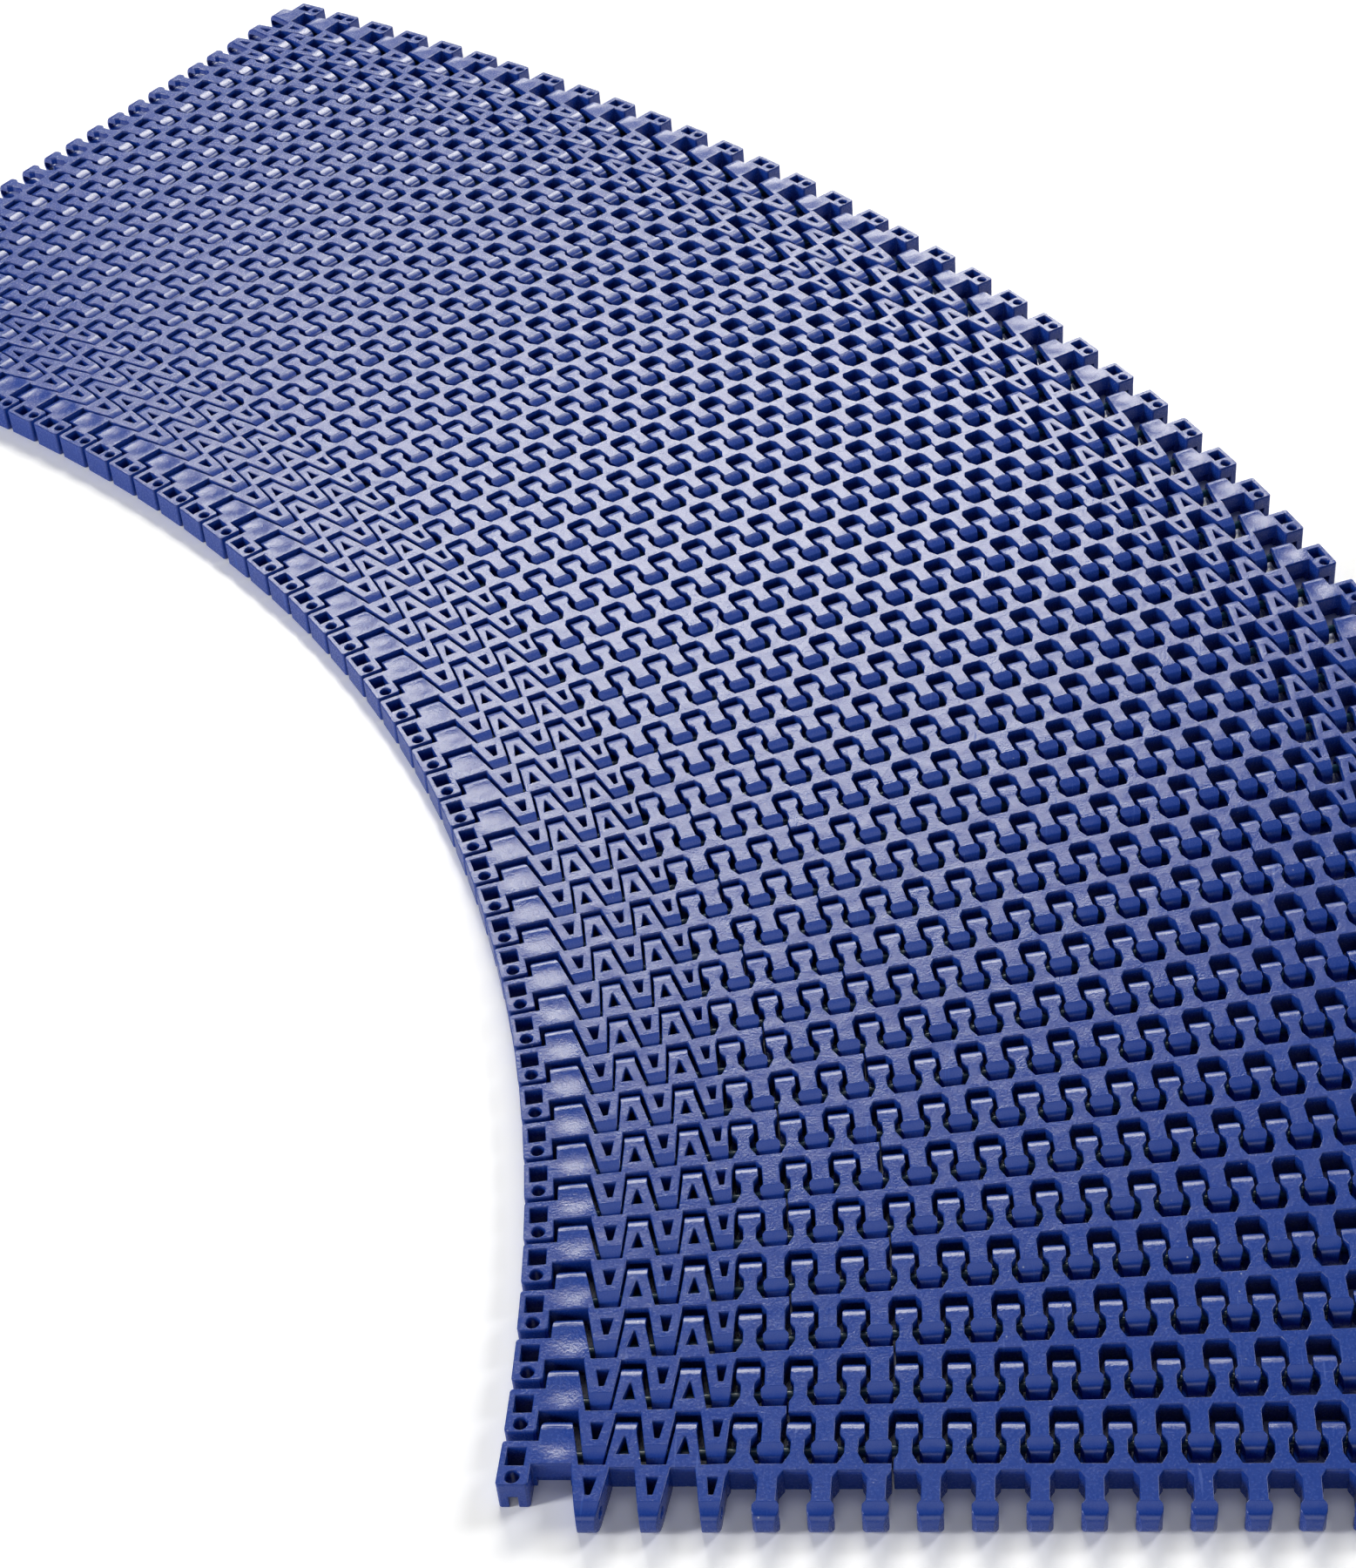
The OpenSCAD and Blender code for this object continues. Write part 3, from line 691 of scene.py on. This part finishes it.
def table_top():
    """White table top with a faint sheen and a barely uneven coat."""
    if "table_top" in bpy.data.materials:
        return bpy.data.materials["table_top"]
    sizes, colours, finish, studio = settings()
    material, shader = new_material("table_top")
    tree = material.node_tree
    spot = tree.nodes.new("ShaderNodeTexCoord")
    grain = place_group(tree, grain_group(), spot.outputs["Object"], {"Fineness": TABLE_GRAINS_PER_METRE})
    mottle = combine(tree, "MULTIPLY", grain.outputs["Mottle"], finish.table_mottle_share)
    coat = tint(tree, colours.table_white, colours.table_shade, mottle)
    rays = tree.nodes.new("ShaderNodeLightPath")
    lift = add_node(tree, "ShaderNodeVectorMath", operation="SCALE")
    join(tree, coat, lift.inputs["Vector"])
    seen = ramp(tree, rays.outputs["Is Camera Ray"], 0.0, 1.0, 1.0, studio.table_lift)
    join(tree, seen, lift.inputs["Scale"])
    join(tree, lift.outputs["Vector"], shader.inputs["Base Color"])
    satin = ramp(tree, grain.outputs["Mottle"], 0.0, 1.0, *finish.table_roughness)
    join(tree, satin, shader.inputs["Roughness"])
    raise_surface(tree, shader, grain.outputs["Height"], finish.smooth_grain_share * sizes.grain_depth)
    return material


# ---------------------------------------------------------------- lamps and camera


def softbox(name, aim, bearing, height, size, watts, roll=0.0, colour=(1, 1, 1)):
    """A soft rectangular lamp that faces a point, on a bearing from the belt's run and an angle above it."""
    distance = bpy.context.scene.belt_studio.lamp_distance
    data = bpy.data.lights.new(name, "AREA")
    data.shape = "RECTANGLE"
    data.size, data.size_y = size
    data.energy = watts
    data.color = colour
    level = math.cos(height)
    towards = Vector((math.sin(bearing) * level, math.cos(bearing) * level, math.sin(height)))
    lamp = bpy.data.objects.new(name, data)
    lamp.location = aim + distance * towards
    lamp.rotation_euler = (towards.to_track_quat("Z", "Y") @ Quaternion((0, 0, 1), roll)).to_euler()
    bpy.context.scene.collection.objects.link(lamp)


def light_belt(aim):
    """Hangs the six lamps that face a point of the belt."""
    studio = bpy.context.scene.belt_studio
    softbox("back_window", aim, studio.window_bearing, studio.window_height,
            studio.window_size, studio.window_watts, studio.window_roll, studio.window_colour)
    softbox("side_window", aim, studio.side_bearing, studio.side_height, studio.side_size, studio.side_watts)
    softbox("front_fill", aim, math.pi, studio.fill_height, studio.fill_size, studio.fill_watts)
    softbox("top_panel", aim, 0.0, studio.panel_height, studio.panel_size, studio.panel_watts)
    softbox("edge_strip", aim, studio.edge_bearing, studio.edge_height, studio.edge_size, studio.edge_watts)
    softbox("low_strip", aim, 0.0, studio.strip_height, studio.strip_size, studio.strip_watts)


def place_camera():
    """Sets up the camera from its eye, heading, tilt and roll, and gives it to the scene."""
    scene = bpy.context.scene
    studio = scene.belt_studio
    camera = bpy.data.objects.new("camera", bpy.data.cameras.new("camera"))
    camera.data.sensor_fit = "AUTO"
    camera.data.lens = studio.lens
    camera.data.shift_x, camera.data.shift_y = studio.shift
    camera.data.clip_start, camera.data.clip_end = CAMERA_CLIP
    ahead = Vector((math.sin(studio.heading), math.cos(studio.heading), 0))
    right = Vector((ahead.y, -ahead.x, 0))
    sight = ahead * math.cos(studio.tilt) - Vector((0, 0, math.sin(studio.tilt)))
    upward = right.cross(sight)
    across = right * math.cos(studio.roll) + upward * math.sin(studio.roll)
    above = upward * math.cos(studio.roll) - right * math.sin(studio.roll)
    turn = Matrix((across, above, -sight)).transposed().to_4x4()
    camera.matrix_world = Matrix.Translation(Vector(studio.eye)) @ turn
    scene.collection.objects.link(camera)
    scene.camera = camera


# ---------------------------------------------------------------- operators


class BELT_OT_inner_modules(Operator):
    """Rounds and repeats the modules along the inner edge"""

    bl_idname = "belt.inner_modules"
    bl_label = "Inner Modules"

    def execute(self, context):
        repeat_modules("inner_module", moulded_module_plastic())
        return {"FINISHED"}


class BELT_OT_centre_modules(Operator):
    """Rounds and repeats the modules along the belt's middle"""

    bl_idname = "belt.centre_modules"
    bl_label = "Centre Modules"

    def execute(self, context):
        repeat_modules("centre_module", moulded_module_plastic())
        return {"FINISHED"}


class BELT_OT_outer_modules(Operator):
    """Rounds and repeats the modules along the outer edge"""

    bl_idname = "belt.outer_modules"
    bl_label = "Outer Modules"

    def execute(self, context):
        repeat_modules("outer_module", moulded_module_plastic())
        return {"FINISHED"}


class BELT_OT_hinge_pins(Operator):
    """Fits a hinge pin in each row that is one node, and gives the split rows' pins their plastic"""

    bl_idname = "belt.hinge_pins"
    bl_label = "Hinge Pins"

    def execute(self, context):
        sizes = context.scene.belt_sizes
        places = row_places(sizes)
        material = smooth_pin_plastic()
        for row in range(2, SPLIT_ROWS + 1):
            solid = frame["nodes"][f"{row_name(row)}_hinge_pin"]
            solid.data.materials.clear()
            solid.data.materials.append(material)
        length = HOLE_SPAN - 2 * sizes.hinge_inset
        deselect_all()
        bpy.ops.mesh.primitive_cylinder_add(
            vertices=sizes.pin_sides, radius=sizes.pin_diameter / 2, depth=length,
            location=(HOLE_SPAN / 2, -sizes.hinge_ahead, BELT_TOP / 2), rotation=(0, math.radians(90), 0))
        pattern = bpy.context.object
        bpy.ops.object.transform_apply(location=True, rotation=True, scale=True)
        rounding = pattern.modifiers.new("pin_ends", "BEVEL")
        rounding.width = sizes.pin_chamfer
        rounding.segments = PIN_END_STEPS
        rounding.angle_limit = PIN_END_CREASE
        apply_modifiers(pattern)
        bpy.ops.object.shade_smooth_by_angle(angle=PIN_SMOOTH_TURN)
        for row in range(SPLIT_ROWS + 1, ROWS + 1):
            piece = bpy.data.objects.new(f"hinge_pin_{row:02d}", pattern.data.copy())
            context.scene.collection.objects.link(piece)
            piece.data.transform(places[row - 1])
            piece.data.materials.clear()
            piece.data.materials.append(material)
            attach(piece, row_name(row))
            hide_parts(row_name(row))
        bpy.data.objects.remove(pattern)
        return {"FINISHED"}


class BELT_OT_stage(Operator):
    """Lays the white table, hangs the lamps and sets up the camera"""

    bl_idname = "belt.stage"
    bl_label = "Stage"

    def execute(self, context):
        low, high = (Vector(corner) for corner in cad_box)
        middle = (low + high) / 2
        deselect_all()
        bpy.ops.mesh.primitive_plane_add(size=TABLE_SIDE, location=(middle.x, middle.y, low.z))
        floor = context.object
        floor.name = "table"
        floor.data.materials.append(table_top())

        world = bpy.data.worlds.new("studio_white")
        world.use_nodes = True
        background = world.node_tree.nodes["Background"]
        background.inputs["Color"].default_value = (1, 1, 1, 1)
        background.inputs["Strength"].default_value = context.scene.belt_studio.world_level
        context.scene.world = world

        light_belt(Vector((0, middle.y, high.z)))
        place_camera()
        context.scene.view_settings.view_transform = "Standard"
        return {"FINISHED"}


class BELT_PT_maker(Panel):
    """Lists the belt's steps and settings in the sidebar"""

    bl_idname = "BELT_PT_maker"
    bl_label = "Modular Belt"
    bl_space_type = "VIEW_3D"
    bl_region_type = "UI"
    bl_category = "Belt"

    def draw(self, context):
        for group in settings():
            for name in group.bl_rna.properties.keys():
                if name not in {"rna_type", "name"}:
                    self.layout.prop(group, name)
        for step in STEPS:
            self.layout.operator(step.bl_idname)


STEPS = (
    BELT_OT_inner_modules, BELT_OT_centre_modules, BELT_OT_outer_modules, BELT_OT_hinge_pins,
    BELT_OT_stage,
)
CLASSES = (BeltSizes, BeltColours, BeltFinish, BeltStudio, *STEPS, BELT_PT_maker)


def register():
    """Registers the classes and hangs the settings on the scene."""
    for cls in CLASSES:
        bpy.utils.register_class(cls)
    bpy.types.Scene.belt_sizes = PointerProperty(type=BeltSizes)
    bpy.types.Scene.belt_colours = PointerProperty(type=BeltColours)
    bpy.types.Scene.belt_finish = PointerProperty(type=BeltFinish)
    bpy.types.Scene.belt_studio = PointerProperty(type=BeltStudio)


def unregister():
    """Takes the settings and classes away again."""
    del bpy.types.Scene.belt_studio
    del bpy.types.Scene.belt_finish
    del bpy.types.Scene.belt_colours
    del bpy.types.Scene.belt_sizes
    for cls in reversed(CLASSES):
        bpy.utils.unregister_class(cls)


def main():
    """Makes the belt and its stage."""
    register()
    bpy.ops.belt.inner_modules()
    bpy.ops.belt.centre_modules()
    bpy.ops.belt.outer_modules()
    bpy.ops.belt.hinge_pins()
    bpy.ops.belt.stage()


if __name__ == "__main__":
    main()
